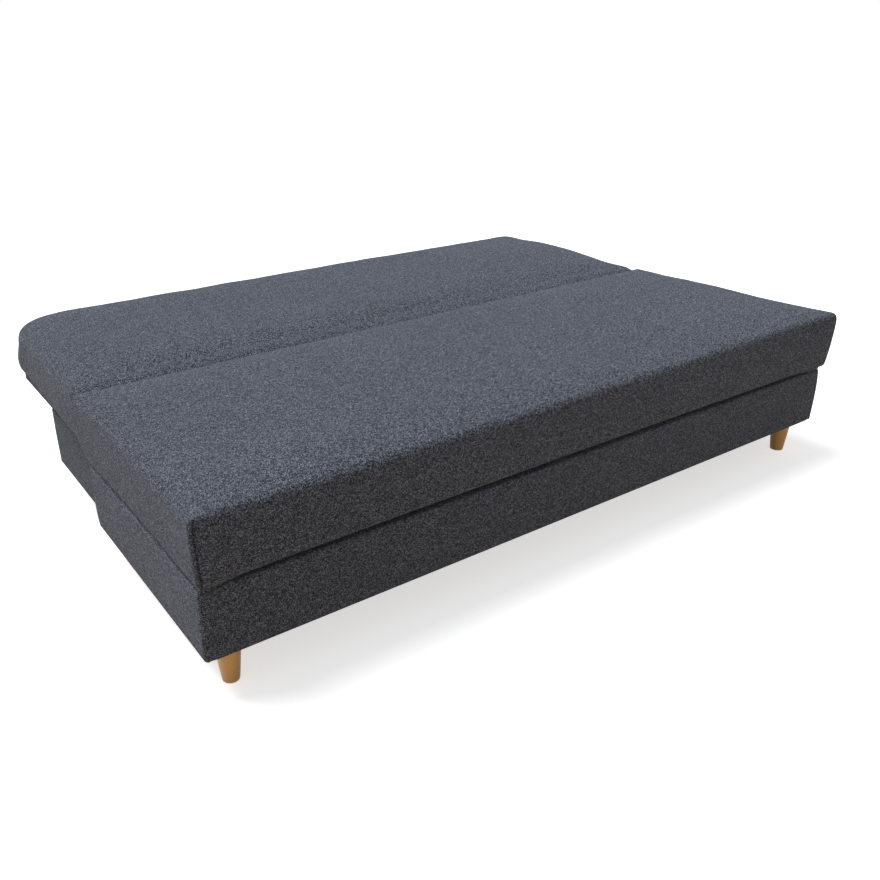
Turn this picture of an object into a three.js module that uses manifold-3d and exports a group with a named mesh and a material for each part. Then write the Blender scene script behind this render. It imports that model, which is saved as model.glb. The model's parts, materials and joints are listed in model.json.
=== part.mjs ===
// A click clack sofa bed, laid flat as a bed. Two sprung mattresses meet at a crease. The seat mattress lies
// on the front of an upholstered storage base, and the back mattress lies on its rear and overhangs it. Both
// turn on one pin at each end of the crease, carried by a bracket on the base. Lifting the seat opens the
// storage box. Raising the back makes the sofa, which a pawl and a notched rim in each hinge hold.
// Millimetres, +Z up, +Y towards the back mattress. The origin is on the floor under the middle of the bed.
import * as THREE from "three";
import { mergeVertices } from "three/addons/utils/BufferGeometryUtils.js";
import Module from "manifold-3d";

const wasm = await Module();
wasm.setup();

// The bed
const bedLength = 1950;
const seatDepth = 730;
const backDepth = 700;
const undersideHeight = 260; // floor to the underside of both mattresses
const mattressHeight = 163; // underside to the edge of the top
const crownHeight = 12; // how far the middle of a mattress stands above its edges
const contactGap = 0.3; // between pieces that touch
const restGap = 0.5; // between a mattress and the base it lies on

// The mattresses
const coverThickness = 3;
const creaseGap = 1; // between the two mattresses
const hemAtEnds = 38; // how far the cover folds under
const hemAtOuterEdge = 45;
const hemAtCrease = 48;
const panelThickness = 3; // fibreboard under each frame and in the base
const seatRounding = 22; // of the seat's upper edges
const backRounding = 34; // of the back's, which are softer
const seatLowerRounding = 14;
const backLowerRounding = 18;
const backCornerRadius = 80; // of the back's outer corners, seen from above
const endBulge = 3; // how far the end walls swell between their edges
const seatBulge = 3; // the same for the wall at the outer side
const backBulge = 8; // about as much as the seat's corners flare
const drawIn = 5; // how far the sides pull in between the corners
const cornerLength = 150; // the stretch of a side that a corner shapes
const seatEarFlare = 10; // how far the seat's front corners stand out at the top

// The frames
const railWidth = 25;
const railHeight = 45;
const seatRailSetback = 30; // from the outer edge of a mattress
const backRailSetback = 60;
const railFromCrease = 16;
const springCount = 8;
const springWire = 4;
const springSwing = 26; // half the width of a zigzag spring
const springStep = 64;

// The base
const legHeight = 100; // floor to the base
const baseFrontSetback = 10; // the base's front behind the mattress's front
const baseEndSetback = 3;
const baseBehindCrease = 350; // how far the base reaches under the back mattress
const skirtBeforeCrease = 70; // where the padded boards on the ends stop, before the crease
const skirtPadding = 5;
const boardThickness = 18;
const rearClothThickness = 1.5;
const crossBoardFromCrease = 60;
const cornerPlateSide = 100;
const cornerPlateThickness = 18;

// The legs
const frontLegFromEnd = 66;
const rearLegFromEnd = 100;
const legFromFront = 64;
const legFromBaseRear = 64;
const legTopRadius = 29;
const legFootRadius = 18.5;
const legFootBevel = 2;
const legBoltRadius = 4;
const legBoltDepth = 45; // in the leg
const legBoltClearance = 0.2;

// The hinges
const steelThickness = 4;
const pivotBelowEdge = 20; // the pin below the mattress's top edge
const pinRadius = 5;
const runningClearance = 0.1;
const pinHeadRadius = 9;
const pinHeadThickness = 5;
const pinEndLength = 3;
const nutThickness = 6;
const nutRadius = 9;
const eyeRadius = 12; // of the arms and bracket around the pin
const armReach = 300; // from the pin along the rail
const armBarHeight = 32;
const armBarLift = 10; // above the mattress's underside
const armPostInner = 14; // the upright part's near side, from the crease
const armPostOuter = 42;
const armShoulderDrop = 22;
const bracketFootWidth = 100;
const bracketFootDrop = 10; // below the base's top
const bracketFootHeight = 120;
const screwHoleRadius = 3;
const wheelRadius = 24; // of the notched rim on the back's arm
const notchPitch = 25; // degrees between the notches
const notchCount = 5;
const notchDepth = 6;
const notchWidth = 6;
const rimBeyondNotch = 18; // degrees from the middle of an end notch to the end of the rim
const pawlPivotForward = 34;
const pawlPivotDrop = 35;
const pawlPinRadius = 3;
const pawlPinHeadRadius = 5;
const pawlPinHeadThickness = 2;
const pawlHubRadius = 6;
const pawlBarHeight = 6;
const pawlTravel = 10; // degrees from drawn out to dropped in
const pawlToothWidth = 3.6;
const pawlToothHeight = 5.5;
const toothTipRadius = 20; // from the pin to the tooth's tip, dropped into a notch
const pawlNose = 1.8; // of the bar beyond the tooth
const pocketDepth = 47; // room for a hinge in the crease side of each mattress
const pocketSideRoom = 3;
const pocketOverEye = 1;

// How far the seat and the back fold away from the crease before they meet above the pin
const seatFoldAngle = 40;
const backFoldAngle = 60;

// Fineness of round shapes and of cuts
const legSegments = 24;
const pinSegments = 20;
const screwSegments = 8;
const cutOverrun = 5; // a cutting solid passes the face it cuts by this much
const mergeDistance = 0.003;

// Places worked out from the sizes
const bedDepth = seatDepth + backDepth;
const endX = bedLength / 2;
const frontY = -bedDepth / 2;
const creaseY = frontY + seatDepth;
const edgeZ = undersideHeight + mattressHeight;
const pivotZ = edgeZ - pivotBelowEdge;
const baseTopZ = undersideHeight - restGap;
const hemTopZ = undersideHeight + coverThickness;
const railBottomZ = hemTopZ + contactGap;
const railTopZ = railBottomZ + railHeight;
const springTopZ = railTopZ + contactGap + springWire;

const baseFrontY = frontY + baseFrontSetback;
const baseRearY = creaseY + baseBehindCrease;
const skirtOuterX = endX - baseEndSetback;
const skirtBoardX = skirtOuterX - skirtPadding - contactGap;
const sideBoardX = skirtBoardX - boardThickness - contactGap;
const insideX = sideBoardX - boardThickness; // inner face of the base's ends
const frontBoardY = baseFrontY + skirtPadding + contactGap;
const insideFrontY = frontBoardY + boardThickness;
const rearBoardY = baseRearY - rearClothThickness - contactGap;
const insideRearY = rearBoardY - boardThickness;
const skirtRearY = creaseY - skirtBeforeCrease;
const floorPanelZ = legHeight + cornerPlateThickness + contactGap;
const storageFloorZ = floorPanelZ + panelThickness;
const crossBoardY = creaseY + crossBoardFromCrease;

// Hinge layers, from the base's end inwards
const bracketX = insideX - contactGap;
const seatArmX = bracketX - steelThickness - contactGap;
const backArmX = seatArmX - steelThickness - contactGap;
const nutX = backArmX - steelThickness - contactGap;
const pinTipX = nutX - nutThickness - pinEndLength;
const pinHeadX = bracketX + contactGap + pinHeadThickness;

function material(color, roughness, metalness = 0) {
  return new THREE.MeshStandardMaterial({ color, roughness, metalness });
}

const fabric = material(0x474b54, 0.95);
const foam = material(0xe8dcae, 0.9);
const chipboard = material(0xb9986a, 0.8);
const fibreboard = material(0x7a5a3c, 0.75);
const pine = material(0xd9b98a, 0.7);
const beech = material(0xc8914f, 0.45);
const steel = material(0x2b2c2e, 0.45, 0.8);
const zinc = material(0xb4b7ba, 0.35, 1);
const springSteel = material(0x8d9094, 0.4, 1);

const sofaBed = new THREE.Group();

function add(name, geometry, finish, x = 0, y = 0, z = 0) {
  const mesh = new THREE.Mesh(geometry, finish);
  mesh.name = name;
  mesh.position.set(x, y, z);
  sofaBed.add(mesh);
  return mesh;
}

const radians = (degrees) => (degrees * Math.PI) / 180;

// Solids for cutting and joining
function toSolid(geometry) {
  const bare = geometry.index ? geometry.toNonIndexed() : geometry.clone();
  bare.deleteAttribute("normal");
  bare.deleteAttribute("uv");
  const merged = mergeVertices(bare, mergeDistance);
  return new wasm.Manifold(
    new wasm.Mesh({
      numProp: 3,
      vertProperties: merged.attributes.position.array,
      triVerts: new Uint32Array(merged.index.array),
    })
  );
}

function toGeometry(solid) {
  const mesh = solid.getMesh();
  const geometry = new THREE.BufferGeometry();
  geometry.setAttribute("position", new THREE.BufferAttribute(mesh.vertProperties, 3));
  geometry.setIndex(new THREE.BufferAttribute(mesh.triVerts, 1));
  return geometry;
}

// A block between two places on each axis, given in either order
const middleOf = ([a, b]) => (a + b) / 2;
const lengthOf = ([a, b]) => Math.abs(b - a);

function addBlock(name, xs, ys, zs, finish) {
  const block = new THREE.BoxGeometry(lengthOf(xs), lengthOf(ys), lengthOf(zs));
  return add(name, block, finish, middleOf(xs), middleOf(ys), middleOf(zs));
}

function solidBlock(xs, ys, zs) {
  const block = new THREE.BoxGeometry(lengthOf(xs), lengthOf(ys), lengthOf(zs));
  return toSolid(block.translate(middleOf(xs), middleOf(ys), middleOf(zs)));
}

function spin(profile, segments) {
  const points = profile.map(([radius, height]) => new THREE.Vector2(radius, height));
  return new THREE.LatheGeometry(points, segments);
}

// A plate standing across the length: its outline is in (Y, Z) from the hinge pin, and it is thick along X
function plateAcross(shape, thickness) {
  const plate = new THREE.ExtrudeGeometry(shape, { depth: thickness, bevelEnabled: false });
  const turn = new THREE.Matrix4().makeBasis(
    new THREE.Vector3(0, 1, 0),
    new THREE.Vector3(0, 0, 1),
    new THREE.Vector3(1, 0, 0)
  );
  return plate.applyMatrix4(turn);
}

// Points on an arc round the origin, in degrees, both ends included
function arcPoints(radius, from, to, steps) {
  const points = [];
  for (let n = 0; n <= steps; n++) {
    const angle = radians(from + ((to - from) * n) / steps);
    points.push(new THREE.Vector2(radius * Math.cos(angle), radius * Math.sin(angle)));
  }
  return points;
}

function roundHole(shape, y, z, radius, segments) {
  const clockwise = THREE.ShapeUtils.isClockWise(shape.getPoints());
  const points = arcPoints(radius, 0, clockwise ? 360 : -360, segments).slice(1);
  for (const point of points) point.add(new THREE.Vector2(y, z));
  shape.holes.push(new THREE.Path(points));
}

// The mattresses. Both are made alike, from the crease outwards: a place along Y is a distance from the
// crease, which towards turns to the seat's side (-1) or the back's (1).
const seat = {
  name: "seat",
  towards: -1,
  depth: seatDepth,
  foldAngle: seatFoldAngle,
  upperRounding: seatRounding,
  lowerRounding: seatLowerRounding,
  cornerRadius: 0,
  bulge: seatBulge,
  railSetback: seatRailSetback,
  cornerShare: 0.3, // the rounding left at a corner
  earFlare: seatEarFlare,
  endRailX: seatArmX + contactGap, // the arms lie against the inner faces of the end rails
};
const back = {
  name: "back",
  towards: 1,
  depth: backDepth,
  foldAngle: backFoldAngle,
  upperRounding: backRounding,
  lowerRounding: backLowerRounding,
  cornerRadius: backCornerRadius,
  bulge: backBulge,
  railSetback: backRailSetback,
  cornerShare: 0.8,
  earFlare: 0,
  endRailX: backArmX + contactGap,
};

const yAt = (mattress, distance) => creaseY + mattress.towards * distance;
const ySpan = (mattress, from, to) => [yAt(mattress, from), yAt(mattress, to)];
const lerp = (a, b, t) => a + (b - a) * t;
const ease = (t) => t * t * (3 - 2 * t);

// The outline of a mattress is a ring of points at each of these heights above the underside. outer and
// crease say how far in a ring stands at the outer sides and at the crease side, which slopes back from the
// pin's height up. swell is the share of the walls' bulge at that height.
function ringsOf(mattress) {
  const arcShare = 0.3; // a quarter round's middle stands this share of its radius inside both its sides
  const fold = pivotBelowEdge * Math.tan(radians(mattress.foldAngle));
  const low = mattress.lowerRounding;
  const high = mattress.upperRounding;
  return [
    { z: 0, outer: low, crease: seatLowerRounding * arcShare, swell: 0 },
    { z: low * arcShare, outer: low * arcShare, crease: 0, swell: 0 },
    { z: low, outer: 0, crease: 0, swell: 0 },
    { z: mattressHeight / 2, outer: 0, crease: 0, swell: 1 },
    { z: mattressHeight - pivotBelowEdge, outer: high * arcShare * arcShare, crease: 0, swell: 0 },
    {
      z: mattressHeight - pivotBelowEdge * arcShare,
      outer: high * arcShare,
      crease: fold * (1 - arcShare),
      swell: 0,
    },
    { z: mattressHeight, outer: high, crease: fold, swell: 0 },
  ];
}

// A point of a ring. u runs along X and v from the crease to the outer side, both from 0 to 1, and inset
// shrinks the mattress all round, for the inside of its cover.
function ringPoint(mattress, ring, u, v, inset) {
  const outerEdge = v === 1;
  const end = u === 0 || u === 1;
  const fromEnd = Math.min(u, 1 - u) * bedLength;
  const fromOuter = (1 - v) * mattress.depth;
  const fromSide = Math.min(v, 1 - v) * mattress.depth;
  const plainness = (distance) => ease(Math.min(1, distance / cornerLength)); // 0 at a corner, 1 away from it
  const roundingAt = (distance) => ring.outer * lerp(mattress.cornerShare, 1, plainness(distance));
  const flareAt = (distance) => mattress.earFlare * (1 - plainness(distance)) * (ring.z / mattressHeight);
  const pull = (t) => drawIn * (1 - (2 * t - 1) ** 2);
  const radius = mattress.cornerRadius;
  const intoCorner = Math.max(0, radius - fromOuter);
  const cornerIn = radius - Math.sqrt(radius ** 2 - intoCorner ** 2);
  const endFlat = roundingAt(fromSide) - endBulge * ring.swell - flareAt(fromOuter);
  const endIn = endFlat + cornerIn + (end ? pull(v) : 0) + inset;
  const outerFlat = roundingAt(fromEnd) - mattress.bulge * ring.swell - flareAt(fromEnd);
  const outerIn = outerFlat + (outerEdge ? pull(u) : 0) + inset;
  const distance = lerp(creaseGap / 2 + ring.crease + inset, mattress.depth - outerIn, v);
  return [lerp(endIn - endX, endX - endIn, u), yAt(mattress, distance), undersideHeight + ring.z];
}

// The closed, crowned form of a mattress: walls between the rings, and a grid over the first and last ring
const alongCells = 16;
const acrossShares = [0, 0.13, 0.3, 0.5, 0.7, 0.885, 0.925, 0.96, 0.986, 1]; // closer in the rounded corners
const acrossCells = acrossShares.length - 1;
const crownAt = (t, power) => 1 - (2 * t - 1) ** power; // the higher the power, the flatter the middle

function mattressForm(mattress, inset) {
  const rings = ringsOf(mattress);
  const last = rings.length - 1;
  const points = [];
  const faces = [];
  const addQuad = (a, b, c, d) => faces.push(mattress.towards > 0 ? [a, b, c, a, c, d] : [c, b, a, d, c, a]);
  const outline = [];
  for (let i = 0; i < alongCells; i++) outline.push([i, 0]);
  for (let j = 0; j < acrossCells; j++) outline.push([alongCells, j]);
  for (let i = alongCells; i > 0; i--) outline.push([i, acrossCells]);
  for (let j = acrossCells; j > 0; j--) outline.push([0, j]);
  const count = outline.length;
  rings.forEach((ring, k) => {
    for (const [i, j] of outline) {
      const point = ringPoint(mattress, ring, i / alongCells, acrossShares[j], inset);
      point[2] = k === last ? point[2] - inset : Math.max(point[2], undersideHeight + inset);
      points.push(point);
    }
  });
  for (let k = 0; k < last; k++)
    for (let n = 0; n < count; n++) {
      const next = (n + 1) % count;
      addQuad(k * count + n, k * count + next, (k + 1) * count + next, (k + 1) * count + n);
    }
  for (const k of [0, last]) {
    const at = new Map(outline.map(([i, j], n) => [i + "," + j, k * count + n]));
    const ringAt = (i, j) => points[at.get(i + "," + j)];
    for (let i = 1; i < alongCells; i++)
      for (let j = 1; j < acrossCells; j++) {
        const u = i / alongCells;
        const v = acrossShares[j];
        const crown = k ? crownHeight * crownAt(u, 6) * crownAt(v, 4) : 0;
        const x = lerp(ringAt(0, j)[0], ringAt(alongCells, j)[0], u);
        const y = lerp(ringAt(i, 0)[1], ringAt(i, acrossCells)[1], v);
        at.set(i + "," + j, points.length);
        points.push([x, y, ringAt(0, 0)[2] + crown]);
      }
    for (let i = 0; i < alongCells; i++)
      for (let j = 0; j < acrossCells; j++) {
        const corners = [at.get(i + "," + j), at.get(i + 1 + "," + j)];
        corners.push(at.get(i + 1 + "," + (j + 1)), at.get(i + "," + (j + 1)));
        if (!k) corners.reverse();
        addQuad(...corners);
      }
  }
  const geometry = new THREE.BufferGeometry();
  geometry.setAttribute("position", new THREE.Float32BufferAttribute(points.flat(), 3));
  geometry.setIndex(faces.flat());
  return toSolid(geometry);
}

// Room for a hinge at each end of the crease
function hingePockets(mattress) {
  const pockets = [-1, 1].map((end) =>
    solidBlock(
      [end * (pinTipX - pocketSideRoom), end * (pinHeadX + pocketSideRoom)],
      ySpan(mattress, -cutOverrun, pocketDepth),
      [undersideHeight - cutOverrun, pivotZ + eyeRadius + pocketOverEye]
    )
  );
  return pockets[0].add(pockets[1]);
}

function addCoverAndFoam(mattress) {
  const panelX = endX - hemAtEnds;
  const hemHole = solidBlock(
    [-panelX, panelX],
    ySpan(mattress, hemAtCrease, mattress.depth - hemAtOuterEdge),
    [undersideHeight - cutOverrun, hemTopZ + cutOverrun]
  );
  const hollow = mattressForm(mattress, coverThickness).add(hemHole).add(hingePockets(mattress));
  add(mattress.name + "_cover", toGeometry(mattressForm(mattress, 0).subtract(hollow)), fabric);

  const frameX = mattress.endRailX + railWidth + contactGap;
  const frameRoom = solidBlock(
    [-frameX, frameX],
    ySpan(mattress, railFromCrease - contactGap, mattress.depth - mattress.railSetback + contactGap),
    [undersideHeight - cutOverrun, springTopZ + contactGap]
  );
  const filling = mattressForm(mattress, coverThickness + contactGap);
  const foamCuts = frameRoom.add(hingePockets(mattress));
  add(mattress.name + "_foam", toGeometry(filling.subtract(foamCuts)), foam);
}

// A wooden frame, with zigzag springs over it and a fibreboard panel under it
function addFrame(mattress) {
  const { name, endRailX } = mattress;
  const outerX = endRailX + railWidth;
  const crossX = endRailX - steelThickness - 2 * contactGap; // the crease rail ends at the arms
  const farRail = mattress.depth - mattress.railSetback;
  const nearRail = railFromCrease;
  const zs = [railBottomZ, railTopZ];
  const creaseYs = ySpan(mattress, nearRail, nearRail + railWidth);
  const outerYs = ySpan(mattress, farRail - railWidth, farRail);
  const endYs = ySpan(mattress, nearRail, farRail - railWidth - contactGap);
  const middleYs = ySpan(mattress, nearRail + railWidth + contactGap, farRail - railWidth - contactGap);
  addBlock(name + "_crease_rail", [-crossX, crossX], creaseYs, zs, pine);
  addBlock(name + "_outer_rail", [-outerX, outerX], outerYs, zs, pine);
  addBlock(name + "_left_rail", [-outerX, -endRailX], endYs, zs, pine);
  addBlock(name + "_right_rail", [endRailX, outerX], endYs, zs, pine);
  addBlock(name + "_centre_rail", [-railWidth / 2, railWidth / 2], middleYs, zs, pine);

  const panelX = endX - hemAtEnds - contactGap;
  const panelYs = ySpan(mattress, hemAtCrease + contactGap, mattress.depth - hemAtOuterEdge - contactGap);
  const panelZs = [hemTopZ - panelThickness, hemTopZ];
  addBlock(name + "_bottom_panel", [-panelX, panelX], panelYs, panelZs, fibreboard);
  addSprings(name, ySpan(mattress, nearRail + railWidth / 2, farRail - railWidth / 2), crossX);
}

// Zigzag springs from rail to rail, held side by side by a tie wire
function addSprings(name, ys, halfLength) {
  const low = Math.min(...ys);
  const length = Math.max(...ys) - low;
  const turns = Math.round(length / springStep);
  const step = length / turns;
  // The wire's edges stand off its slanting centre line by this much along X
  const edge = springWire / 2 / Math.sin(Math.atan2(step, 2 * springSwing));
  const bends = [];
  for (let n = 0; n <= turns; n++) bends.push([n % 2 ? springSwing : -springSwing, low + n * step]);
  const oneSide = bends.map(([x, y]) => new THREE.Vector2(x - edge, y));
  const otherSide = bends.map(([x, y]) => new THREE.Vector2(x + edge, y)).reverse();
  const outline = new THREE.Shape([...oneSide, ...otherSide]);
  const wire = toSolid(new THREE.ExtrudeGeometry(outline, { depth: springWire, bevelEnabled: false }));
  const pitch = (2 * halfLength) / springCount;
  const reach = halfLength - pitch / 2;
  const tieY = low + (Math.floor(turns / 2) + 1 / 2) * step; // across the middle of a slanting run
  const tieRadius = springWire / 4;
  const tieZ = springTopZ - springWire / 2;
  let springs = solidBlock(
    [-reach, reach],
    [tieY - tieRadius, tieY + tieRadius],
    [tieZ - tieRadius, tieZ + tieRadius]
  );
  for (let n = 0; n < springCount; n++)
    springs = springs.add(wire.translate(n * pitch - reach, 0, springTopZ - springWire));
  add(name + "_springs", toGeometry(springs), springSteel);
}

// The base: a storage box of boards, with padded boards on the front part of its ends
function addBase() {
  const zs = [legHeight, baseTopZ];
  addBlock("base_front_board", [-skirtBoardX, skirtBoardX], [frontBoardY, insideFrontY], zs, chipboard);
  const endBoardY = [insideFrontY + contactGap, rearBoardY];
  addBlock("base_left_board", [-sideBoardX, -insideX], endBoardY, zs, chipboard);
  addBlock("base_right_board", [insideX, sideBoardX], endBoardY, zs, chipboard);
  const acrossX = [-(insideX - contactGap), insideX - contactGap];
  addBlock("base_rear_board", acrossX, [insideRearY, rearBoardY], zs, chipboard);
  addBlock(
    "base_cross_board",
    acrossX,
    [crossBoardY, crossBoardY + boardThickness],
    [storageFloorZ + contactGap, baseTopZ],
    chipboard
  );
  addBlock(
    "base_floor_panel",
    acrossX,
    [insideFrontY + contactGap, insideRearY - contactGap],
    [floorPanelZ, storageFloorZ],
    fibreboard
  );
  const skirtY = [insideFrontY + contactGap, skirtRearY - skirtPadding - contactGap];
  const skirtBoardInner = skirtBoardX - boardThickness;
  addBlock("skirt_left_board", [-skirtBoardX, -skirtBoardInner], skirtY, zs, chipboard);
  addBlock("skirt_right_board", [skirtBoardInner, skirtBoardX], skirtY, zs, chipboard);

  // Padded cloth round the front and the front part of the ends, folded in behind their boards
  const hollowZ = [legHeight - cutOverrun, baseTopZ + cutOverrun];
  const clothFaceX = skirtOuterX - skirtPadding;
  const foldY = skirtRearY - skirtPadding;
  const behindBoards = solidBlock([-clothFaceX, clothFaceX], [baseFrontY + skirtPadding, foldY], hollowZ);
  const innerX = sideBoardX + contactGap;
  const betweenFolds = solidBlock([-innerX, innerX], [foldY - cutOverrun, skirtRearY + cutOverrun], hollowZ);
  const padded = solidBlock([-skirtOuterX, skirtOuterX], [baseFrontY, skirtRearY], zs);
  add("front_skirt_cover", toGeometry(padded.subtract(behindBoards.add(betweenFolds))), fabric);

  // Plain cloth round the rear part of the base
  const clothX = innerX + rearClothThickness;
  const cloth = solidBlock([-clothX, clothX], [skirtRearY + contactGap, baseRearY], zs);
  const roomYs = [skirtRearY - cutOverrun, baseRearY - rearClothThickness];
  const roomInside = solidBlock([-innerX, innerX], roomYs, hollowZ);
  add("rear_skirt_cover", toGeometry(cloth.subtract(roomInside)), fabric);
}

function addLegs() {
  const top = legHeight - contactGap;
  const boreRadius = legBoltRadius + legBoltClearance;
  const boreBottom = top - legBoltDepth;
  const legProfile = [
    [0, 0],
    [legFootRadius - legFootBevel, 0],
    [legFootRadius, legFootBevel],
    [legTopRadius, top],
    [boreRadius, top],
    [boreRadius, boreBottom],
    [0, boreBottom],
  ];
  const boltBottom = boreBottom + contactGap;
  const boltTop = legHeight + cornerPlateThickness - contactGap;
  const plateZs = [legHeight, legHeight + cornerPlateThickness];
  for (const row of ["front", "rear"])
    for (const hand of ["left", "right"]) {
      const place = row + "_" + hand;
      const side = hand === "left" ? -1 : 1;
      const inwards = row === "front" ? 1 : -1;
      const x = side * (endX - (row === "front" ? frontLegFromEnd : rearLegFromEnd));
      const y = row === "front" ? frontY + legFromFront : baseRearY - legFromBaseRear;
      add("leg_" + place, spin(legProfile, legSegments).rotateX(Math.PI / 2), beech, x, y);
      const boltLength = boltTop - boltBottom;
      const bolt = new THREE.CylinderGeometry(legBoltRadius, legBoltRadius, boltLength, pinSegments);
      add("leg_bolt_" + place, bolt.rotateX(Math.PI / 2), zinc, x, y, middleOf([boltBottom, boltTop]));

      // The plate that the bolt goes through, in the base's corner
      const cornerX = side * (insideX - contactGap);
      const cornerY = row === "front" ? insideFrontY + contactGap : insideRearY - contactGap;
      const plateXs = [cornerX, cornerX - side * cornerPlateSide];
      const plateYs = [cornerY, cornerY + inwards * cornerPlateSide];
      const drillLength = cornerPlateThickness + 2 * cutOverrun;
      const drill = new THREE.CylinderGeometry(boreRadius, boreRadius, drillLength, pinSegments);
      drill.rotateX(Math.PI / 2).translate(x, y, middleOf(plateZs));
      const plate = solidBlock(plateXs, plateYs, plateZs).subtract(toSolid(drill));
      add("leg_plate_" + place, toGeometry(plate), chipboard);
    }
}

// The hinges. Outlines are in (Y, Z) from the pin, with the seat on the side where Y is negative.
const barTop = -(pivotZ - undersideHeight) + armBarLift + armBarHeight;
const barBottom = barTop - armBarHeight;
const pinHole = pinRadius + runningClearance;
const screwShares = [0.35, 0.6, 0.85];
const firstNotch = 270 + pawlTravel; // where the dropped-in tooth points, in degrees
const lastNotch = firstNotch - (notchCount - 1) * notchPitch;

// The back arm's notched rim: one notch for the flat bed and one for each further notchPitch of folding
function rimPoints() {
  const halfNotch = (Math.asin(notchWidth / 2 / wheelRadius) * 180) / Math.PI;
  const points = arcPoints(wheelRadius, lastNotch - rimBeyondNotch, lastNotch - halfNotch, 1);
  for (let n = notchCount - 1; n >= 0; n--) {
    const middle = firstNotch - n * notchPitch;
    const root = wheelRadius - notchDepth;
    const halfRoot = (Math.asin(notchWidth / 2 / root) * 180) / Math.PI;
    points.push(...arcPoints(root, middle - halfRoot, middle + halfRoot, 1));
    const rimEnd = n ? middle + notchPitch - halfNotch : middle + rimBeyondNotch;
    points.push(...arcPoints(wheelRadius, middle + halfNotch, rimEnd, n ? 2 : 1));
  }
  return points;
}

// An arm: an eye on the pin, a post down inside the crease, and a bar along the mattress's end rail
function armShape(towards, rim) {
  const eyeEnd = rim.length ? lastNotch - rimBeyondNotch : 180;
  const outline = [
    ...arcPoints(eyeRadius, 0, eyeEnd, pinSegments / 2),
    ...rim,
    new THREE.Vector2(armPostInner, -armShoulderDrop),
    new THREE.Vector2(armPostInner, barBottom),
    new THREE.Vector2(armReach, barBottom),
    new THREE.Vector2(armReach, barTop),
    new THREE.Vector2(armPostOuter, barTop),
    new THREE.Vector2(armPostOuter, -armShoulderDrop),
  ];
  for (const point of outline) point.x *= towards;
  const arm = new THREE.Shape(outline);
  roundHole(arm, 0, 0, pinHole, pinSegments);
  const boltRow = (barTop + barBottom) / 2;
  for (const share of screwShares)
    roundHole(arm, towards * armReach * share, boltRow, screwHoleRadius, screwSegments);
  return arm;
}

function bracketShape() {
  const footTop = baseTopZ - bracketFootDrop - pivotZ;
  const footBottom = footTop - bracketFootHeight;
  const half = bracketFootWidth / 2;
  const bracket = new THREE.Shape([
    ...arcPoints(eyeRadius, 0, 180, pinSegments / 2),
    new THREE.Vector2(-eyeRadius, footTop),
    new THREE.Vector2(-half, footTop - eyeRadius),
    new THREE.Vector2(-half, footBottom),
    new THREE.Vector2(half, footBottom),
    new THREE.Vector2(half, footTop - eyeRadius),
    new THREE.Vector2(eyeRadius, footTop),
  ]);
  roundHole(bracket, 0, 0, pinHole, pinSegments);
  for (const y of [eyeRadius - half, half - eyeRadius])
    for (const share of screwShares)
      roundHole(bracket, y, footTop - bracketFootHeight * share, screwHoleRadius, screwSegments);
  return bracket;
}

// The pawl, drawn out of the notches: a hub, a bar under the rim and a tooth standing up from the bar. The
// tooth's place follows from where its tip is once it has turned by pawlTravel and points at the pin.
function pawlShape() {
  const turn = radians(pawlTravel);
  const inPlace = new THREE.Vector2(toothTipRadius * Math.sin(turn), -toothTipRadius * Math.cos(turn));
  const pivot = new THREE.Vector2(-pawlPivotForward, -pawlPivotDrop);
  const tip = inPlace.sub(pivot).rotateAround(new THREE.Vector2(), -turn);
  const root = tip.y - pawlToothHeight;
  const half = pawlToothWidth / 2;
  const nose = tip.x + half + pawlNose;
  const outline = new THREE.Shape([
    ...arcPoints(pawlHubRadius, 90, 270, pinSegments / 2),
    new THREE.Vector2(nose, root - pawlBarHeight),
    new THREE.Vector2(nose, root),
    new THREE.Vector2(tip.x + half, root),
    new THREE.Vector2(tip.x + half, tip.y),
    new THREE.Vector2(tip.x - half, tip.y),
    new THREE.Vector2(tip.x - half, root),
  ]);
  roundHole(outline, 0, 0, pawlPinRadius + runningClearance, pinSegments);
  return outline;
}

// A pin with a head, standing along Y with the head's face at the origin
function headedPin(radius, length, headRadius, headThickness) {
  return spin(
    [
      [0, 0],
      [headRadius, 0],
      [headRadius, headThickness],
      [radius, headThickness],
      [radius, length],
      [0, length],
    ],
    pinSegments
  );
}

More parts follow.
